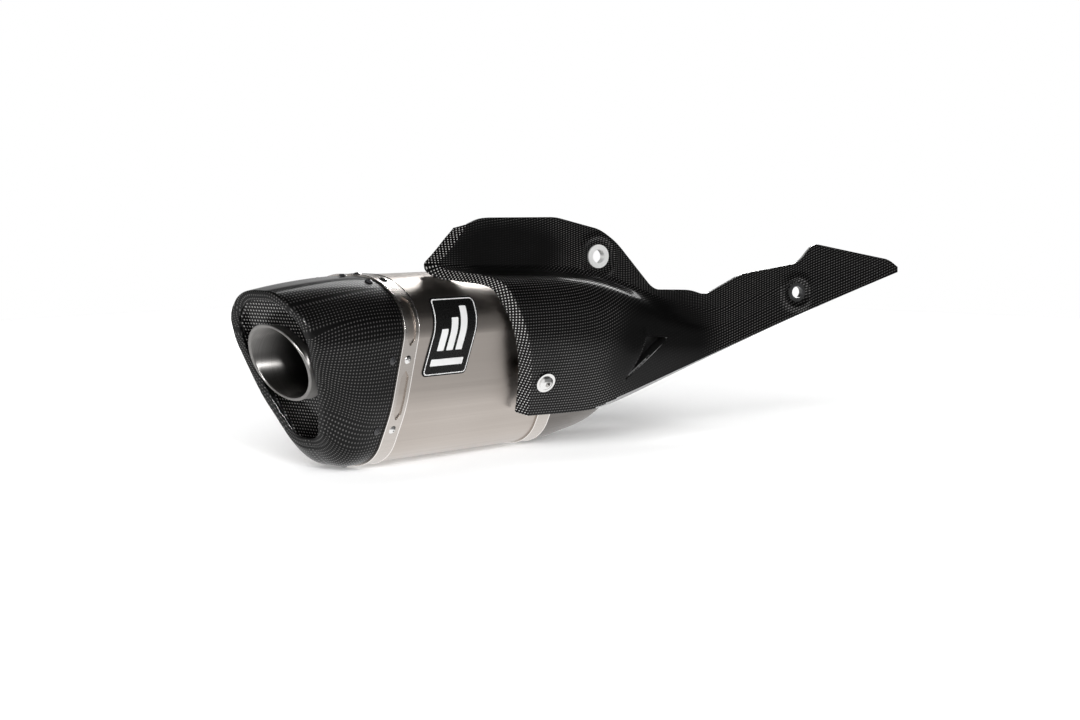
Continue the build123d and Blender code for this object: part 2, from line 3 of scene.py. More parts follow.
import bpy
import numpy as np
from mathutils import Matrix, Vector


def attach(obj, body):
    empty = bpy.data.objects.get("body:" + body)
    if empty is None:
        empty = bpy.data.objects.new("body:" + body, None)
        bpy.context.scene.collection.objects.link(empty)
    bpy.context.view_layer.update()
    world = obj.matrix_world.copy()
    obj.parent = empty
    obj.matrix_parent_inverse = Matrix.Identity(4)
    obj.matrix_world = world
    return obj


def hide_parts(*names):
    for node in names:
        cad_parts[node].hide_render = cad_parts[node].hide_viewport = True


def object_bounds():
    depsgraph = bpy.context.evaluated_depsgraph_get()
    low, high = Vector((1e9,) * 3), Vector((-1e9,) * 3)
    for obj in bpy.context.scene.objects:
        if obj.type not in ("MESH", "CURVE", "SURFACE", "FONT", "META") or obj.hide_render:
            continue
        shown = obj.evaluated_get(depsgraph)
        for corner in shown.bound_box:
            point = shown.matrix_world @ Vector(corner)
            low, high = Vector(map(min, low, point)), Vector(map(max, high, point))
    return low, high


# Looks of the slip-on silencer. Shapes are worked out in the silencer's own frame, in
# millimetres (x forward from the joint of cap and sleeve, y inboard, z up), and turned
# into the shared frame, in metres, when a mesh is made.
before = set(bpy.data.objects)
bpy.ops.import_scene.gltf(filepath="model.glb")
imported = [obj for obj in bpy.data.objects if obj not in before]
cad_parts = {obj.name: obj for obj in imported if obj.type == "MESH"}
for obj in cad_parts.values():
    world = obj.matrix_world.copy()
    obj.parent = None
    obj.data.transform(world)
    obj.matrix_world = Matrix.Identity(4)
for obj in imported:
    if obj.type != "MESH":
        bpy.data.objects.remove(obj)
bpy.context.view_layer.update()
SOCKET_MOUTH = 362.0


# ---- meshes ----
def to_frame(points):
    return (np.asarray(points, float) - (SOCKET_MOUTH, 0, 0)) * 0.001


def make_piece(name, points, faces, material, body="silencer", uv=None, flat_edge=40):
    """Mesh object from points in millimetres; uv holds one pair of millimetres per point."""
    mesh = bpy.data.meshes.new(name)
    mesh.from_pydata(to_frame(points).tolist(), [], faces)
    if uv is not None:
        layer = mesh.uv_layers.new(name="weave")
        corners = np.empty(len(mesh.loops), np.int32)
        mesh.loops.foreach_get("vertex_index", corners)
        layer.data.foreach_set("uv", np.asarray(uv, np.float32)[corners].ravel() * 0.001)
    mesh.materials.append(material)
    mesh.polygons.foreach_set("use_smooth", [True] * len(mesh.polygons))
    mesh.set_sharp_from_angle(angle=math.radians(flat_edge))
    piece = bpy.data.objects.new(name, mesh)
    bpy.context.collection.objects.link(piece)
    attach(piece, body)
    return piece


def grid_faces(rows, columns, closed=False, first=0):
    """Quads of a grid whose points are stored row after row."""
    width = columns if closed else columns - 1
    faces = []
    for row in range(rows - 1):
        low = first + row * columns
        high = low + columns
        for column in range(width):
            beside = (column + 1) % columns
            faces.append((low + column, low + beside, high + beside, high + column))
    return faces


def arc_lengths(points):
    steps = np.linalg.norm(np.diff(points, axis=0), axis=1)
    return np.concatenate([[0], np.cumsum(steps)])


# ---- material nodes ----
class Nodes:
    """The node tree of a new material, or of the world, and short calls to add to it."""

    def __init__(self, name, world=None, **values):
        if world:
            self.tree = world.node_tree
            self.shader = self.tree.nodes["Background"]
        else:
            self.material = bpy.data.materials.new(name)
            self.material.use_nodes = True
            self.tree = self.material.node_tree
            self.shader = self.tree.nodes["Principled BSDF"]
        for key, value in values.items():
            self.shader.inputs[key.replace("_", " ")].default_value = value

    def add(self, kind, **settings):
        node = self.tree.nodes.new(kind)
        for key, value in settings.items():
            setattr(node, key, value)
        return node

    def link(self, source, target):
        self.tree.links.new(source, target)

    def math(self, operation, first, second=0.0, third=0.0):
        node = self.add("ShaderNodeMath", operation=operation)
        for socket, value in zip(node.inputs, (first, second, third)):
            if isinstance(value, (int, float)):
                socket.default_value = value
            else:
                self.link(value, socket)
        return node.outputs[0]

    def place(self, scale=(1, 1, 1), centre=(0, 0, 0)):
        """Position in the shared frame, from a centre and stretched."""
        where = self.add("ShaderNodeTexCoord")
        mapping = self.add("ShaderNodeMapping")
        mapping.inputs["Scale"].default_value = scale
        mapping.inputs["Location"].default_value = [-c * k for c, k in zip(centre, scale)]
        self.link(where.outputs["Object"], mapping.inputs["Vector"])
        return mapping.outputs["Vector"]

    def split(self, vector):
        node = self.add("ShaderNodeSeparateXYZ")
        self.link(vector, node.inputs[0])
        return node.outputs

    def length(self, vector):
        node = self.add("ShaderNodeVectorMath", operation="LENGTH")
        self.link(vector, node.inputs[0])
        return node.outputs["Value"]

    def noise(self, scale, stretch=(1, 1, 1), detail=3.0):
        node = self.add("ShaderNodeTexNoise")
        node.inputs["Scale"].default_value = scale
        node.inputs["Detail"].default_value = detail
        self.link(self.place(stretch), node.inputs["Vector"])
        return node.outputs["Fac"]

    def mix(self, factor, first, second):
        """Blends two colours, each a value or a socket."""
        node = self.add("ShaderNodeMix", data_type="RGBA")
        self.link(factor, node.inputs["Factor"])
        for side, colour in (("A", first), ("B", second)):
            if isinstance(colour, tuple):
                node.inputs[side].default_value = (*colour, 1)
            else:
                self.link(colour, node.inputs[side])
        return node.outputs["Result"]

    def ramp(self, factor, low, high, start=0.3, end=0.7):
        """Blends between two values or two colours as factor goes from start to end."""
        node = self.add("ShaderNodeMapRange", clamp=True)
        node.interpolation_type = "SMOOTHSTEP"
        node.inputs["From Min"].default_value = start
        node.inputs["From Max"].default_value = end
        self.link(factor, node.inputs["Value"])
        if isinstance(low, (int, float)):
            node.inputs["To Min"].default_value = low
            node.inputs["To Max"].default_value = high
            return node.outputs["Result"]
        return self.mix(node.outputs["Result"], low, high)

    def bump(self, height, strength, distance=0.0002):
        node = self.add("ShaderNodeBump")
        node.inputs["Strength"].default_value = strength
        node.inputs["Distance"].default_value = distance
        self.link(height, node.inputs["Height"])
        self.link(node.outputs["Normal"], self.shader.inputs["Normal"])

    def drive(self, socket, source):
        self.link(source, self.shader.inputs[socket])


WEAVE_PITCH = 2.4           # mm between the raised crossings of the carbon cloth
CAP_PITCH = 2.75            # and on the end cap
OUTLET_SLANT = 0.5          # how far the outlet's cut leans back for each mm of height
DEEP_SHADE_START = -0.432         # metres forward: the painted shade begins just inside the outlet's lip
DEEP_SHADE_FADE = 0.042


def carbon(name, tone, pitch=WEAVE_PITCH, thread=1.0, metal=0.93, darkened_areas=()):
    """Carbon cloth on the bias under clear lacquer: grey crossings on a black ground.

    With thread below 1 the crossings of a row run together into a line. In the darkened areas,
    each a centre, half its size and a strength, the crossings are painted out into the black
    ground, for painted shade and for weave hidden under a reflected sheen.
    """
    nodes = Nodes(
        name, Roughness=0.3, Specular_IOR_Level=0.05, Coat_Weight=0.22, Coat_Roughness=0.04
    )
    uv = nodes.split(nodes.add("ShaderNodeUVMap", uv_map="weave").outputs["UV"])
    turns = 2 * math.pi * 1000 / pitch
    along = nodes.math("COSINE", nodes.math("MULTIPLY", uv["X"], turns))
    across = nodes.math("COSINE", nodes.math("MULTIPLY", uv["Y"], turns))
    crossing = nodes.math("MULTIPLY_ADD", along, thread, across)
    patchy = nodes.ramp(nodes.noise(26, detail=1.0), 0.7, 1.15)
    top = 1 + thread
    raised = nodes.math("MULTIPLY", nodes.ramp(crossing, 0.0, 1.0, 0.3 * top, 0.9 * top), patchy)
    # Painted-out weave: in each area the crossings fade into the black ground.
    for centre, half_size, strength in darkened_areas:
        away = nodes.length(nodes.place([1 / half for half in half_size], centre))
        shows = nodes.ramp(away, 1 - strength, 1.0, 0.6, 1.3)
        raised = nodes.math("MULTIPLY", raised, shows)
    ground = (0.002, 0.002, 0.002)
    fibre = (tone, 0.98 * tone, 0.96 * tone)
    nodes.drive("Base Color", nodes.ramp(raised, ground, fibre, 0.0, 1.0))
    nodes.drive("Metallic", nodes.math("MULTIPLY", raised, metal))
    nodes.bump(crossing, 0.25, 0.0001)
    return nodes.material


def brushed(name, colour, darker, roughness, stretch=(3, 900, 900), strength=0.06):
    """Satin metal with faint drawn lines and slow changes of tone."""
    nodes = Nodes(name, Metallic=1.0, Anisotropic=0.25)
    lines = nodes.noise(1.0, stretch, 2.0)
    cloud = nodes.noise(9.0, detail=2.0)
    nodes.drive("Base Color", nodes.ramp(cloud, darker, colour, 0.25, 0.75))
    nodes.drive("Roughness", nodes.ramp(lines, roughness - 0.05, roughness + 0.05, 0.3, 0.7))
    nodes.bump(lines, strength, 0.00005)
    return nodes.material


def turned(name, colour, darker, deep_shade, roughness):
    """Steel brushed round the silencer's axis, so that highlights run along it, with painted shade
    deeper inside.
    """
    nodes = Nodes(
        name, Metallic=1.0, Roughness=roughness, Anisotropic=1.0, Anisotropic_Rotation=0.25
    )
    tangent = nodes.add("ShaderNodeTangent", direction_type="RADIAL", axis="X")
    nodes.link(tangent.outputs[0], nodes.shader.inputs["Tangent"])
    lines = nodes.noise(1.0, (1500, 12, 12), 2.0)
    steel = nodes.ramp(lines, darker, colour, 0.3, 0.7)
    where = nodes.split(nodes.place())
    depth = nodes.math("MULTIPLY_ADD", where["Z"], OUTLET_SLANT, where["X"])
    # Painted shade: the steel darkens to near black deeper inside the tube.
    shaded_depth = nodes.ramp(depth, 0.0, 1.0, DEEP_SHADE_START, DEEP_SHADE_START + DEEP_SHADE_FADE)
    nodes.drive("Base Color", nodes.mix(shaded_depth, steel, deep_shade))
    return nodes.material


def fine_grain(name, colour, darker, roughness, grain=900, strength=0.15, **values):
    """Painted, moulded or plated surface with a fine grain."""
    nodes = Nodes(name, **values)
    spots = nodes.noise(grain, detail=2.0)
    nodes.drive("Base Color", nodes.ramp(nodes.noise(14, detail=2.0), darker, colour, 0.3, 0.7))
    nodes.drive("Roughness", nodes.ramp(spots, roughness * 0.85, roughness * 1.15, 0.3, 0.7))
    nodes.bump(spots, strength, 0.00003)
    return nodes.material


# Where the crossings are painted out: painted shade on the wing's rear half, and on the cap's top
# and the cowl's front the weave painted out under a reflected sheen.
CAP_TOP_UNDER_SHEEN = ((-0.395, 0.0, 0.07), (0.1, 0.05, 0.024), 1.0)
COWL_FRONT_UNDER_SHEEN = ((-0.108, -0.095, 0.0), (0.06, 0.07, 0.045), 0.9)
WING_REAR_IN_SHADE = ((-0.235, -0.04, 0.075), (0.06, 0.045, 0.024), 0.85)
cap_weave = carbon("carbon_cap", 0.105, CAP_PITCH, darkened_areas=(CAP_TOP_UNDER_SHEEN,))
face_weave = carbon("carbon_face", 0.3, CAP_PITCH, metal=0.4)
shield_weave = carbon("carbon_shield", 0.155, thread=0.42, darkened_areas=(COWL_FRONT_UNDER_SHEEN, WING_REAR_IN_SHADE))
# The shield's lip: its own weave, the crossings made much lighter as painted highlight where the
# rim catches the light.
lip_weave_painted_lit = carbon("carbon_lip_painted_lit", 0.6, metal=0.5)
# Near black for the vent's pocket: painted shade.
vent_shade_black = fine_grain("black_painted_shade", (0.008, 0.008, 0.008), (0.005, 0.005, 0.005), 0.5)
# Bare carbon edge, light grey partly as painted highlight; the same grey paints a highlight line
# along the shield's bottom rows.
edge_grey_and_painted_highlight = fine_grain("carbon_edge_and_painted_highlight", (0.42, 0.42, 0.42), (0.3, 0.3, 0.3), 0.3, Coat_Weight=0.8)
titanium = brushed("titanium_sheet", (0.54, 0.49, 0.45), (0.5, 0.45, 0.41), 0.34)
titanium_band = brushed("titanium_strip", (0.6, 0.555, 0.52), (0.55, 0.51, 0.475), 0.3)
# The bands' rolled edges: polished titanium made lighter than the band's, partly as painted
# highlight.
bead_metal_painted_highlight = fine_grain(
    "titanium_edge_painted_highlight", (0.9, 0.86, 0.83), (0.84, 0.8, 0.77), 0.22, 300, 0.02, Metallic=1.0
)
# The last colour is the painted shade deep inside the tube.
tube_steel = turned(
    "brushed_tube", (0.35, 0.34, 0.33), (0.29, 0.282, 0.274), (0.015, 0.014, 0.013), 0.43
)
inner_steel = brushed("plain_stainless", (0.42, 0.4, 0.375), (0.34, 0.32, 0.3), 0.36)
# Titanium darkened as painted shade, for the cone, post and bracket lying under the shield.
shaded_titanium = brushed("welded_titanium", (0.24, 0.225, 0.21), (0.19, 0.175, 0.165), 0.42)
satin_flange = fine_grain(
    "satin_flange", (0.95, 0.95, 0.94), (0.88, 0.88, 0.87), 0.35, Metallic=0.5
)
bright_steel = fine_grain(
    "bright_steel", (0.86, 0.85, 0.84), (0.76, 0.75, 0.74), 0.16, Metallic=1.0
)
zinc = fine_grain("zinc_plate", (0.68, 0.68, 0.69), (0.58, 0.58, 0.56), 0.27, Metallic=1.0)
black_metal = fine_grain("black_anodised", (0.03, 0.03, 0.032), (0.02, 0.02, 0.022), 0.3)
rubber = fine_grain("black_rubber", (0.022, 0.022, 0.022), (0.014, 0.014, 0.014), 0.7, 500, 0.4)
enamel = fine_grain(
    "black_enamel", (0.006, 0.006, 0.006), (0.004, 0.004, 0.004), 0.3, Specular_IOR_Level=0.15
)
white_enamel = fine_grain("white_enamel", (0.82, 0.82, 0.82), (0.76, 0.76, 0.76), 0.35)
wool = fine_grain("glass_wool", (0.85, 0.82, 0.72), (0.74, 0.7, 0.58), 0.95, 350, 1.0)

CAD_MATERIALS = {
    "sleeve": titanium,
    "rear_band": titanium_band,
    "front_band": titanium_band,
    "rear_band_rivets": bright_steel,
    "front_band_rivets": bright_steel,
    "end_cap_rivets": black_metal,
    "rear_bulkhead": inner_steel,
    "perforated_core": inner_steel,
    "glass_wool_packing": wool,
    "front_cone": shaded_titanium,
    "inlet_socket": inner_steel,
    "clamp_band": titanium_band,
    "clamp_nut": zinc,
    "clamp_bolt": zinc,
    "shield_screw": bright_steel,
    "shield_grommet": rubber,
    "shield_post": shaded_titanium,
    "hanger_bracket": shaded_titanium,
    "upper_bush": satin_flange,
    "upper_grommet": rubber,
    "lower_bush": black_metal,
    "lower_grommet": rubber,
    "badge": enamel,
    "badge_inlay": white_enamel,
    "outlet_tube": tube_steel,
    "end_cap_shell": cap_weave,
    "end_cap_insert": face_weave,
    "heat_shield": shield_weave,
}
for node, material in CAD_MATERIALS.items():
    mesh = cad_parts[node].data
    mesh.materials.clear()
    mesh.materials.append(material)

# ---- end cap ----
SLEEVE_CORNERS = np.array([(22, 58.5), (46, 44), (54.5, 24), (40, -36), (21, -78.5)], float)
SLEEVE_RADII = np.array([50, 35, 28, 120, 28], float)
EXIT_CORNERS = np.array([(18, 51), (37.5, 33), (40, 14), (33.5, -23), (15.5, -62)], float)
EXIT_RADII = np.array([30, 27, 40, 90, 18], float)
CAP_EASING = np.array([1.6, 1.6, 2.0, 3.0, 5.0])
CAP_LENGTH = 68.5
CAP_SLANT = 0.44
CAP_WALL = 2.4
RIM_WALL = 7.5
RECESS_LENGTH = 59.0
RECESS_SLANT = 0.53
OUTLET_RADIUS = 27.0
OUTLET_LENGTH = 70.6


def rounded_outline(corners, radii, arc_points=12, line_points=8):
    """Points round a mirrored figure with rounded corners, from the middle of its top."""
    mirrored = corners[::-1] * (-1, 1)
    corners = np.concatenate([corners, mirrored])
    radii = np.concatenate([radii, radii[::-1]])
    arcs = []
    for i, corner in enumerate(corners):
        before = corners[i - 1] - corner
        after = corners[(i + 1) % len(corners)] - corner
        before /= np.linalg.norm(before)
        after /= np.linalg.norm(after)
        half = math.acos(np.clip(before @ after, -1, 1)) / 2
        middle = before + after
        centre = corner + middle / np.linalg.norm(middle) * radii[i] / math.sin(half)
        start = corner + before * radii[i] / math.tan(half) - centre
        end = corner + after * radii[i] / math.tan(half) - centre
        sweep = math.atan2(start[0] * end[1] - start[1] * end[0], start @ end)
        turns = np.linspace(0, sweep, arc_points)[:, None]
        side = np.array([-start[1], start[0]])
        arcs.append(centre + start * np.cos(turns) + side * np.sin(turns))
    points = []
    for arc, following in zip(arcs, arcs[1:] + arcs[:1]):
        points.append(arc)
        share = np.linspace(0, 1, line_points + 2)[1:-1, None]
        points.append(arc[-1] + (following[0] - arc[-1]) * share)
    points = np.concatenate(points)
    return np.roll(points, line_points // 2, axis=0)


def inward(outline):
    """Unit normals of a closed outline, towards its middle."""
    along = np.roll(outline, -1, axis=0) - np.roll(outline, 1, axis=0)
    normal = np.stack([along[:, 1], -along[:, 0]], axis=1)
    normal /= np.linalg.norm(normal, axis=1)[:, None]
    outward = np.sum(normal * (outline - outline.mean(axis=0)), axis=1).mean()
    return -normal * math.copysign(1, outward)


def cap_ring(part_way, inset=0.0, forward=0.0):
    """Section of the cap in its own leaning plane, drawn in and moved forward."""
    moved = (part_way**CAP_EASING)[:, None]
    corners = SLEEVE_CORNERS + (EXIT_CORNERS - SLEEVE_CORNERS) * moved
    lean = part_way * CAP_SLANT
    stretch = math.hypot(1, lean)
    radii = SLEEVE_RADII + (EXIT_RADII - SLEEVE_RADII) * part_way
    outline = rounded_outline(corners * (1, stretch), radii)
    outline = outline + inward(outline) * inset
    y, z = outline[:, 0], outline[:, 1] / stretch
    x = -part_way * CAP_LENGTH - lean * z + forward
    return np.stack([x, y, z], axis=1)


def cap_wall(part_way):
    return CAP_WALL + (RIM_WALL - CAP_WALL) * part_way**3


OUTER_EDGE = 1.6
INNER_EDGE = 1.6
rings = [cap_ring(part_way) for part_way in np.linspace(0, 1 - OUTER_EDGE / CAP_LENGTH, 60)]
quarter = np.radians(np.arange(15, 91, 15))
for angle in quarter:
    inset = OUTER_EDGE * (1 - math.cos(angle))
    rings.append(cap_ring(1, inset, OUTER_EDGE * (1 - math.sin(angle))))
for angle in np.concatenate([[0], quarter]):
    inset = RIM_WALL - INNER_EDGE * (1 - math.sin(angle))
    rings.append(cap_ring(1, inset, INNER_EDGE * (1 - math.cos(angle))))
rim_end = len(rings)
for part_way in np.linspace(1 - INNER_EDGE / CAP_LENGTH, 0.45, 40)[1:]:
    rings.append(cap_ring(part_way, cap_wall(part_way)))
rings = np.array(rings)
ring_points = rings.shape[1]

# The weave follows the girth at the joint, and the length along each line of the cap.
girth = arc_lengths(np.vstack([rings[0], rings[0][:1]]))
closed_rings = np.concatenate([rings, rings[:, :1]], axis=1)
run = np.array([arc_lengths(closed_rings[:, j]) for j in range(ring_points + 1)]).T
girth *= round(girth[-1] / CAP_PITCH) * CAP_PITCH / girth[-1]
uv = np.stack([run, girth[None, :] * np.ones_like(run)], axis=2)
end_cap = make_piece(
    "end_cap_shell_weave",
    closed_rings.reshape(-1, 3),
    grid_faces(len(rings), ring_points + 1),
    cap_weave,
    uv=uv.reshape(-1, 2),
)
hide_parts("end_cap_shell")


def recess_x(z):
    return -(RECESS_LENGTH + RECESS_SLANT * z)


# Outer edge of the recessed face: where the inner wall meets its leaning plane.
inner_wall = rings[rim_end:]
edge = []
for j in range(ring_points):
    line = inner_wall[:, j]
    gap = line[:, 0] - recess_x(line[:, 2])
    edge.append([np.interp(0, gap, line[:, axis]) for axis in range(3)])
edge = np.array(edge)
bearing = np.arctan2(edge[:, 1], edge[:, 2])
FACE_FILLET = 3.0
face_rows = []
for share in np.concatenate([np.linspace(0, 0.2, 9), np.linspace(0.24, 1, 20)]):
    radius = OUTLET_RADIUS + 0.1
    circle = np.stack([radius * np.sin(bearing), radius * np.cos(bearing)], axis=1)
    yz = edge[:, 1:] + (circle - edge[:, 1:]) * share
    away = np.linalg.norm(yz - edge[:, 1:], axis=1)
    inside = np.clip(1 - away / FACE_FILLET, 0, 1)
    rise = FACE_FILLET * (1 - np.sqrt(1 - inside**2))
    face_rows.append(np.stack([recess_x(yz[:, 1]) - rise, yz[:, 0], yz[:, 1]], axis=1))
face_rows = np.array(face_rows)
face_uv = face_rows[:, :, 1:] * (1, math.hypot(1, RECESS_SLANT))
cap_face = make_piece(
    "end_cap_face_weave",
    face_rows.reshape(-1, 3),
    grid_faces(len(face_rows), ring_points, closed=True),
    face_weave,
    uv=face_uv.reshape(-1, 2),
)
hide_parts("end_cap_insert")

# ---- rolled edges of the riveted bands ----
BEAD_RADIUS = 0.55
BAND_WIDTH = 16.0
BAND_THICKNESS = 1.0
SLEEVE_LENGTH = 192.0
band_outline = rounded_outline(SLEEVE_CORNERS, SLEEVE_RADII)
band_normal = -inward(band_outline)
for name, start in (("rear_band_edges", 0), ("front_band_edges", SLEEVE_LENGTH - BAND_WIDTH)):
    bead_rows, bead_faces = [], []
    for bead_x in (start + BEAD_RADIUS, start + BAND_WIDTH - BEAD_RADIUS):
        first = sum(len(row) for row in bead_rows)
        for turn in np.radians(np.arange(-90, 271, 30)):
            out = BAND_THICKNESS - 0.25 + BEAD_RADIUS * math.cos(turn)
            yz = band_outline + band_normal * out
            x = np.full(len(yz), bead_x + BEAD_RADIUS * math.sin(turn))
            bead_rows.append(np.stack([x, yz[:, 0], yz[:, 1]], axis=1))
        bead_faces += grid_faces(13, len(band_outline), closed=True, first=first)
    bead = make_piece(name, np.concatenate(bead_rows), bead_faces, bead_metal_painted_highlight)

# ---- outlet tube with its rolled lip ----
LIP_ROLL = 1.15
TUBE_BORE = 25.5
TUBE_REACH = 30.0           # how far the tube goes in past the joint of cap and sleeve
LEAN_FADE = 40.0            # the slant dies out over this length at the tube's inner end
turns = np.linspace(0, 2 * math.pi, 181)[:-1]
tube_depth = OUTLET_LENGTH + TUBE_REACH
profile = [(TUBE_BORE, tube_depth - step * 6.5) for step in range(16)]
for angle in np.radians(np.arange(180, -1, -15)):
    roll = LIP_ROLL * (1 + math.cos(angle))
    profile.append((TUBE_BORE + roll, LIP_ROLL * (1 - math.sin(angle))))
profile += [(27.7, 1.6), (27.3, 2.0), (27.05, 2.6)]
profile += [(OUTLET_RADIUS, depth) for depth in (4.0, 14.0, 30.0)]
tube_rows = []
for radius, depth in profile:
    y, z = radius * np.sin(turns), radius * np.cos(turns)
    leaning = min(1, (tube_depth - depth) / LEAN_FADE)
    x = -(OUTLET_LENGTH + OUTLET_SLANT * z * leaning) + depth
    tube_rows.append(np.stack([x, y, z], axis=1))
outlet = make_piece(
    "outlet_tube_rolled",
    np.concatenate(tube_rows),
    grid_faces(len(tube_rows), len(turns), closed=True),
    tube_steel,
)
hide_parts("outlet_tube")

# ---- heat shield ----
# The section runs, with t from 0 to 1, from the lower edge up the side to the ridge, in
# along the ledge to the crease, and up the wing to its top; s runs from rim to tip.
RIDGE_AT = 0.55
CREASE_AT = 0.67
SHIELD_TIP = 458.0
SHIELD_BOTTOM = -53.0
SHIELD_THICKNESS = 2.4
COWL_REAR = 108.0           # the rear rim's place at the ridge
CREASE_REAR = 66.0          # and at the crease
LEDGE_WIDTH = 18.0
BELLY = 16.0                # how far the cowl's side swells
UPPER_EYE = (206, 69)       # x and z
LOWER_EYE = (375, 37)
SCREW = np.array([148.1, -62.2, -25.7])
UPPER_HOLE = 8.2            # the holes' radii
LOWER_HOLE = 7.7
SCREW_HOLE = 4.6
TOP_OUTLINE = np.array([
    (94, 94.5), (101, 98.3), (109, 99.8), (170, 99.8), (208, 90), (223, 79), (254, 42),
    (285, 41), (298, 36.5), (328, 52.7), (376, 61), (388, 77), (452, 62.5), (460, 54),
])
VENT_CORNERS = np.array([(234.5, -93.8, 6.4), (258.7, -98.5, 4.2), (223.4, -82.4, -28.4)])
VENT_OUTWARD = np.array([-0.208, -0.948, -0.242])


def ramp(x, blend):
    return 0.5 * (x + np.hypot(x, blend))


def smooth(x):
    x = np.clip(x, 0, 1)
    return x * x * (3 - 2 * x)


def plate_offset(x):
    return 22 + 0.25 * (x - 60) + 0.00045 * (x - 60) ** 2


def lower_edge(x):
    return SHIELD_BOTTOM + 0.42 * ramp(x - 208, 16)


def top_edge(x):
    shifts = (-4, -2, 0, 2, 4)
    return sum(np.interp(x + shift, TOP_OUTLINE[:, 0], TOP_OUTLINE[:, 1]) for shift in shifts) / 5


def crease_height(x):
    rear = 60 - 0.41 * ramp(x - 200, 30) + 0.07 * ramp(105 - x, 10)
    front = lower_edge(x) + 2 + 26 * (1 - smooth((x - 360) / 98))
    return front + ramp(rear - front, 16)


def shield_corner(s, t):
    """Points of the shield before its ridge and crease are rounded."""
    q = 1 - t / RIDGE_AT
    on_ledge = (t - RIDGE_AT) / (CREASE_AT - RIDGE_AT)
    up_wing = (t - CREASE_AT) / (1 - CREASE_AT)
    side = t <= RIDGE_AT
    ledge = ~side & (t <= CREASE_AT)
    side_rear = COWL_REAR + 39 * q
    ledge_rear = COWL_REAR + (CREASE_REAR - COWL_REAR) * on_ledge
    wing_rear = CREASE_REAR + 28.5 * up_wing + 7.5 * up_wing * (1 - up_wing)
    rear = np.select([side, ledge], [side_rear, ledge_rear], wing_rear)
    x = rear + (SHIELD_TIP - rear) * s
    ledge_width = LEDGE_WIDTH * (1 - smooth((x - 150) / 160))
    belly = BELLY * (1 - smooth((x - 150) / 190))
    crease = crease_height(x)
    step = 14 - 9.5 * ledge_width / LEDGE_WIDTH
    ridge = crease - step * (1 - np.exp((lower_edge(x) - crease) / (1.5 * step)))
    inner = plate_offset(x)
    side_y = inner + ledge_width * (1 - q) + belly * 4 * q * (1 - q) * (1.3 - 0.6 * q)
    side_z = ridge + (lower_edge(x) - ridge) * q
    ledge_y = inner + ledge_width * (1 - on_ledge)
    ledge_z = ridge + (crease - ridge) * on_ledge
    wing_z = crease + (top_edge(x) - crease) * up_wing
    y = np.select([side, ledge], [side_y, ledge_y], inner)
    z = np.select([side, ledge], [side_z, ledge_z], wing_z)
    return np.stack([x, -y, z], axis=-1)


def shield_point(s, t):
    spread = np.minimum(0.035, np.minimum(t, 1 - t))
    return sum(shield_corner(s, t + k * spread / 2) for k in (-2, -1, 0, 1, 2)) / 5


def unit(vectors):
    return vectors / np.linalg.norm(vectors, axis=-1)[..., None]


def shield_directions(s, t):
    """Outward normals and forward directions of the outer face."""
    step = 0.01
    ahead = shield_point(np.minimum(s + step, 1), t) - shield_point(np.maximum(s - step, 0), t)
    upward = shield_point(s, np.minimum(t + step, 1)) - shield_point(s, np.maximum(t - step, 0))
    forward = unit(ahead)
    return unit(np.cross(forward, upward)), forward


def plate_distance(points, eye):
    """Distance in the wing or front plate from the axis of an eye."""
    x, z = eye
    slope = 0.25 + 0.0009 * (x - 60)
    along = (points[..., 0] - x) * math.hypot(1, slope)
    return np.hypot(along, points[..., 2] - z)


def ridge_profile(distance, middle, inner, outer):
    """Raised ring: steep towards the mount, gentle away from it."""
    width = np.where(distance < middle, inner, outer)
    return np.exp(-(((distance - middle) / width) ** 2))


def triangle_distance(points):
    """Signed distance in side view from the vent's outline, negative inside it."""
    flat = points[..., (0, 2)]
    outline = VENT_CORNERS[:, (0, 2)]
    nearest = np.full(flat.shape[:-1], 1e9)
    inside = np.ones(flat.shape[:-1], bool)
    for start, end in zip(outline, np.roll(outline, -1, axis=0)):
        edge_line = end - start
        share = np.clip((flat - start) @ edge_line / (edge_line @ edge_line), 0, 1)
        foot = start + share[..., None] * edge_line
        nearest = np.minimum(nearest, np.linalg.norm(flat - foot, axis=-1))
        cross = edge_line[0] * (flat[..., 1] - start[1]) - edge_line[1] * (flat[..., 0] - start[0])
        inside &= cross < 0
    return np.where(inside, -nearest, nearest)


def hole_distance(points):
    """Distance outside the nearest of the shield's four openings, negative inside one."""
    upper = plate_distance(points, UPPER_EYE) - UPPER_HOLE
    lower = plate_distance(points, LOWER_EYE) - LOWER_HOLE
    screw = np.linalg.norm(points - SCREW, axis=-1) - SCREW_HOLE
    return np.minimum(np.minimum(upper, lower), np.minimum(screw, triangle_distance(points)))


def swelling(points):
    """How far the moulding stands proud: rings round the eyes and the hood of the vent."""
    upper = 1.7 * ridge_profile(plate_distance(points, UPPER_EYE), 15.5, 1.8, 3.0)
    lower = 2.2 * ridge_profile(plate_distance(points, LOWER_EYE), 12.0, 1.9, 3.4)
    start, end = VENT_CORNERS[0, (0, 2)], VENT_CORNERS[2, (0, 2)]
    line = (end - start) / np.linalg.norm(end - start)
    flat = points[..., (0, 2)] - start
    down = flat @ line
    behind = flat[..., 0] * line[1] - flat[..., 1] * line[0]
    length = np.linalg.norm(end - start)
    window = smooth((down + 8) / 14) * smooth((length + 4 - down) / 26)
    hood = 2.6 * window * np.where(behind > 0, np.exp(-((behind / 11) ** 2)), 0)
    return upper + lower + hood


S_COUNT = 330               # points along the shield and round its section
T_COUNT = 150
s_values = np.linspace(0, 1, S_COUNT)[None, :] * np.ones((T_COUNT, 1))
t_values = np.linspace(0, 1, T_COUNT)[:, None] * np.ones((1, S_COUNT))
face_points = shield_point(s_values, t_values)
outward, forward = shield_directions(s_values, t_values)
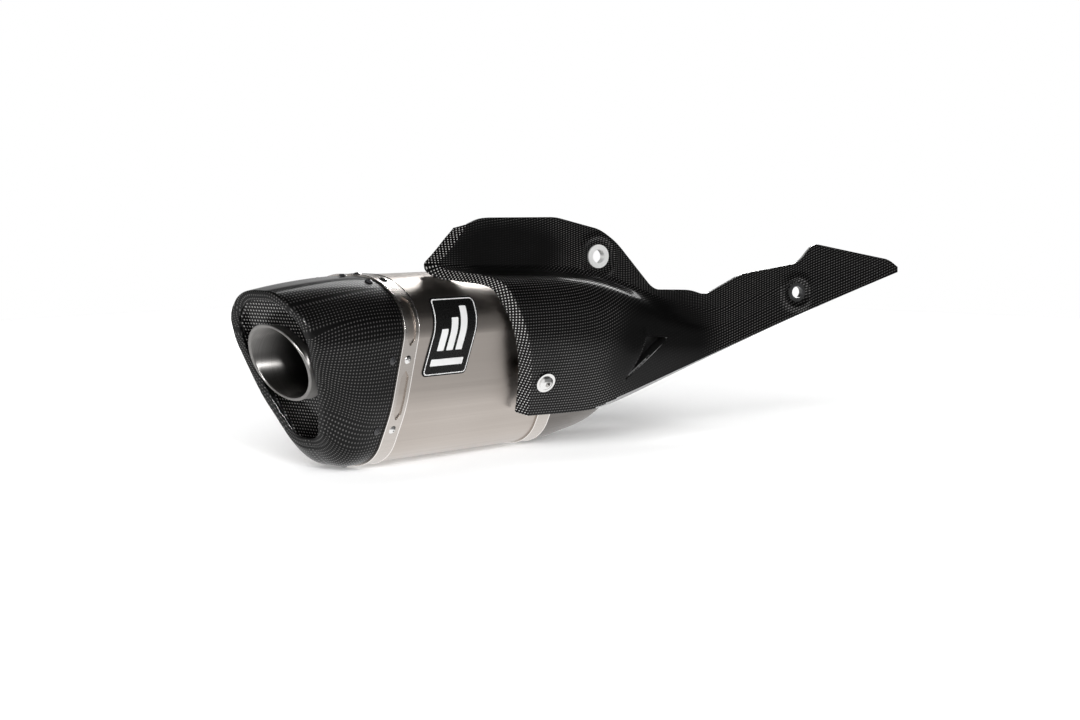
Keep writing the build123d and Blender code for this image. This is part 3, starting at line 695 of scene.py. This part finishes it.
# The rim's lip, as steps back and inward: a bevel with a rounded start and a turned-in end.
LIP_PROFILE = [(9.0, 7.0), (8.8, 6.4), (8.3, 5.7), (7.6, 5.0), (4.4, 2.6), (2.0, 0.8), (1.0, 0.2)]
lip_columns = []
for back, drop in LIP_PROFILE:
    lip_columns.append(face_points[:, 0] - forward[:, 0] * back - outward[:, 0] * drop)
lip_points = np.stack(lip_columns, axis=1)
swell = swelling(face_points)[..., None]
grid = np.concatenate([lip_points, face_points + outward * swell], axis=1)
lip_count = lip_points.shape[1]
columns = grid.shape[1]

# Weave: forward along the moulding, and up round its section from the lower edge.
plate_run = np.linspace(60, 460, 401)
plate_arc = arc_lengths(np.stack([plate_run, plate_offset(plate_run)], axis=1))
u_face = np.interp(face_points[..., 0], plate_run, plate_arc)
lip_run = np.linalg.norm(np.diff(grid[:, : lip_count + 1], axis=1), axis=2)
u_lip = u_face[:, :1] - np.cumsum(lip_run[:, ::-1], axis=1)[:, ::-1]
rises = np.linalg.norm(np.diff(face_points, axis=0), axis=2)
v_face = np.concatenate([np.zeros((1, S_COUNT)), np.cumsum(rises, axis=0)])
v_lip = np.repeat(v_face[:, :1], lip_count, axis=1)
weave_uv = np.stack([np.hstack([u_lip, u_face]), np.hstack([v_lip, v_face])], axis=2)

# Openings: faces inside one are left out, and the points left on its rim move onto it.
flat_grid = grid.reshape(-1, 3)
faces = np.array(grid_faces(T_COUNT, columns))
centres = flat_grid[faces].mean(axis=1)
is_open = hole_distance(centres) < 0
dropped = set(faces[is_open].ravel().tolist())
faces = faces[~is_open]
centres = centres[~is_open]
kept = set(faces.ravel().tolist())
rim = np.array(sorted(dropped & kept))
PROBE = 0.1
for _ in range(3):
    here = flat_grid[rim]
    gap = hole_distance(here)
    slope = np.stack([
        hole_distance(here + step) - hole_distance(here - step)
        for step in np.eye(3) * PROBE
    ], axis=1) / (2 * PROBE)
    slope /= np.maximum(np.linalg.norm(slope, axis=1), 1e-6)[:, None]
    flat_grid[rim] = here - slope * gap[:, None]
used = np.array(sorted(kept))
renumber = {old: new for new, old in enumerate(used.tolist())}
shield = make_piece(
    "heat_shield_weave",
    flat_grid[used],
    [tuple(renumber[i] for i in face) for face in faces.tolist()],
    shield_weave,
    uv=weave_uv.reshape(-1, 2)[used],
    flat_edge=55,
)

# Materials: 0 the weave, 1 the bare edge, light grey partly as painted highlight, with a painted
# highlight line along the bottom, and 2 the lip, lighter weave as painted highlight. The line
# starts at the cowl's front half and is three rows of faces high.
HIGHLIGHT_LINE_START = 204.0
HIGHLIGHT_LINE_TAPER = 9.0            # mm of length for each row more
highlight_line_rows = np.clip((centres[:, 0] - HIGHLIGHT_LINE_START) / HIGHLIGHT_LINE_TAPER, 0, 3)
on_highlight_line = faces[:, 0] // columns < highlight_line_rows
on_lip = faces[:, 0] % columns < lip_count - 1
shield.data.materials.append(edge_grey_and_painted_highlight)
shield.data.materials.append(lip_weave_painted_lit)
shield.data.polygons.foreach_set("material_index", np.select([on_lip, on_highlight_line], [2, 1], 0))
wall = shield.modifiers.new("wall", "SOLIDIFY")
wall.thickness = SHIELD_THICKNESS * 0.001
wall.offset = -1
wall.material_offset_rim = 1
edges = shield.modifiers.new("edges", "BEVEL")
edges.width = 0.0009
edges.segments = 2
edges.material = 1
edges.limit_method = "ANGLE"
edges.angle_limit = math.radians(60)
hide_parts("heat_shield")

# Closed pocket behind the vent's opening, near black as painted shade, drawn in a little to cover
# the cut edge.
RIM_DRAWN_IN = 0.02
vent_rim = []
for start, end in zip(VENT_CORNERS, np.roll(VENT_CORNERS, -1, axis=0)):
    vent_rim += [start + (end - start) * share for share in np.linspace(0, 1, 12)[:-1]]
vent_rim = np.array(vent_rim)
vent_rim += (vent_rim.mean(axis=0) - vent_rim) * RIM_DRAWN_IN
pocket_rows = [vent_rim - VENT_OUTWARD * depth for depth in (-0.9, 0.5, 3, 5, 7, 7.8)]
pocket_floor = pocket_rows[-1]
inward_run = pocket_floor.mean(axis=0) - pocket_floor
for share in (0.06, 0.3, 0.6, 0.98):
    pocket_rows.append(pocket_floor + inward_run * share - VENT_OUTWARD * 0.2)
pocket = make_piece(
    "vent_pocket",
    np.concatenate(pocket_rows),
    grid_faces(len(pocket_rows), len(vent_rim), closed=True),
    vent_shade_black,
)

# ---- stage, lights and camera ----
FLOOR_REACH = 1.6
FLOOR_GAP = 0.0005
floor_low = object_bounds()[0].z - FLOOR_GAP
floor_corners = [(-1, -1), (1, -1), (1, 1), (-1, 1)]
floor_mesh = bpy.data.meshes.new("floor")
floor_mesh.from_pydata(
    [(x * FLOOR_REACH, y * FLOOR_REACH, floor_low) for x, y in floor_corners],
    [],
    [(0, 1, 2, 3)],
)
# The floor glows more with distance, so that it meets the white background without a line.
floor_nodes = Nodes("pale_floor", Roughness=0.9)
floor_nodes.shader.inputs["Base Color"].default_value = (0.86, 0.86, 0.86, 1)
floor_nodes.shader.inputs["Emission Color"].default_value = (1, 1, 1, 1)
away = floor_nodes.length(floor_nodes.place())
floor_nodes.drive("Emission Strength", floor_nodes.ramp(away, 0.12, 0.8, 0.6, 1.4))
floor_mesh.materials.append(floor_nodes.material)
floor = bpy.data.objects.new("floor", floor_mesh)
bpy.context.collection.objects.link(floor)
floor.visible_glossy = False


def set_up(light, name, place, aim, mirrored, lighting):
    """Puts a light in place; mirrored and lighting say what it takes part in."""
    lamp = bpy.data.objects.new(name, light)
    lamp.location = place
    lamp.rotation_euler = (Vector(aim) - Vector(place)).to_track_quat("-Z", "Y").to_euler()
    lamp.visible_glossy = mirrored
    lamp.visible_diffuse = lighting
    bpy.context.collection.objects.link(lamp)


def softbox(name, place, aim, width, height, power, mirrored=False, lighting=True):
    light = bpy.data.lights.new(name, "AREA")
    light.shape = "RECTANGLE"
    light.size = width
    light.size_y = height
    light.energy = power
    set_up(light, name, place, aim, mirrored, lighting)


def sun(name, place, power, spread):
    """A sun that lights from a place to the origin and isn't mirrored; spread is in degrees."""
    light = bpy.data.lights.new(name, "SUN")
    light.energy = power
    light.angle = math.radians(spread)
    set_up(light, name, place, (0, 0, 0), False, True)


softbox("overhead", (-0.35, 0.5, 1.6), (-0.2, 0, 0), 0.9, 0.6, 6)
softbox(
    "behind", (1.08, 0.55, 0.8), (-0.15, -0.05, 0.05), 0.6, 0.5, 12, mirrored=True, lighting=False
)
softbox("rear_left", (-1.9, 0.0, 0.45), (-0.35, 0, 0), 0.7, 0.8, 4)
softbox("beside_camera", (-1.1, -1.6, 0.35), (-0.3, 0, 0), 0.5, 0.5, 3)
outlet_spot = bpy.data.lights.new("outlet_spot", "SPOT")
outlet_spot.energy = 165
outlet_spot.spot_size = math.radians(7)
outlet_spot.spot_blend = 1.0
outlet_spot.shadow_soft_size = 0.08
set_up(outlet_spot, "outlet_spot", (-1.2, -1.38, 0.2), (-0.44, 0, 0), True, True)
sun("sky_dome", (-0.9, -0.9, 0.9), 2.0, 60)
sun("low_sun", (-1.0, -0.85, 0.36), 5.8, 36)
for name, place, aim, size, power in (
    ("ledge_strip", (0.9, -0.12, 0.95), (-0.15, -0.07, 0.05), 0.5, 7),
    ("cap_sheen", (0.65, 0.62, 0.95), (-0.4, -0.01, 0.05), 0.5, 2.6),
):
    softbox(name, place, aim, size, size, power, mirrored=True, lighting=False)

# Three lights reach one piece each: ledge_strip draws the bright line along the shield's
# ledge, cap_sheen the grey sheen on top of the end cap, and low_sun the long soft shadow
# on the floor.
for name, receiver in (("ledge_strip", shield), ("cap_sheen", end_cap), ("low_sun", floor)):
    receivers = bpy.data.collections.new(name + "_receivers")
    receivers.objects.link(receiver)
    bpy.data.objects[name].light_linking.receiver_collection = receivers

# Pale walls stand low round the object under a dark ceiling, brightest behind it, with
# the pale floor below; the picture's own background is plain white.
world = bpy.data.worlds.new("studio")
bpy.context.scene.world = world
world.use_nodes = True
sky = Nodes("studio", world)
background = sky.shader
side_x, side_y, height = sky.split(sky.add("ShaderNodeTexCoord").outputs["Generated"])
back_wall = sky.ramp(side_y, 0.0, 1.0, 0.05, 0.5)
rear_wall = sky.ramp(side_x, 1.0, 0.0, -0.7, -0.3)
front_wall = sky.ramp(side_y, 0.24, 0.0, -0.75, -0.25)
walls = sky.math("MAXIMUM", back_wall, sky.math("MAXIMUM", rear_wall, front_wall))
low_part = sky.ramp(height, 0.9, 0.0, 0.12, 0.42)
below = sky.ramp(height, 1.08, 0.0, -0.55, -0.12)
lit = sky.math("MAXIMUM", sky.math("MULTIPLY", walls, low_part), below)
lit = sky.math("ADD", lit, 0.02)
seen = sky.add("ShaderNodeLightPath")
sky.link(sky.math("MAXIMUM", lit, seen.outputs["Is Camera Ray"]), background.inputs["Strength"])
background.inputs["Color"].default_value = (1, 1, 1, 1)

camera_data = bpy.data.cameras.new("camera")
camera_data.lens = 66.27
camera_data.sensor_width = 36
camera = bpy.data.objects.new("camera", camera_data)
camera.location = (-1.3912, -1.0106, 0.1165)
camera.rotation_euler = Vector((0.7745, 0.6272, -0.0826)).to_track_quat("-Z", "Y").to_euler()
bpy.context.collection.objects.link(camera)
bpy.context.scene.camera = camera
bpy.context.scene.view_settings.view_transform = "Standard"
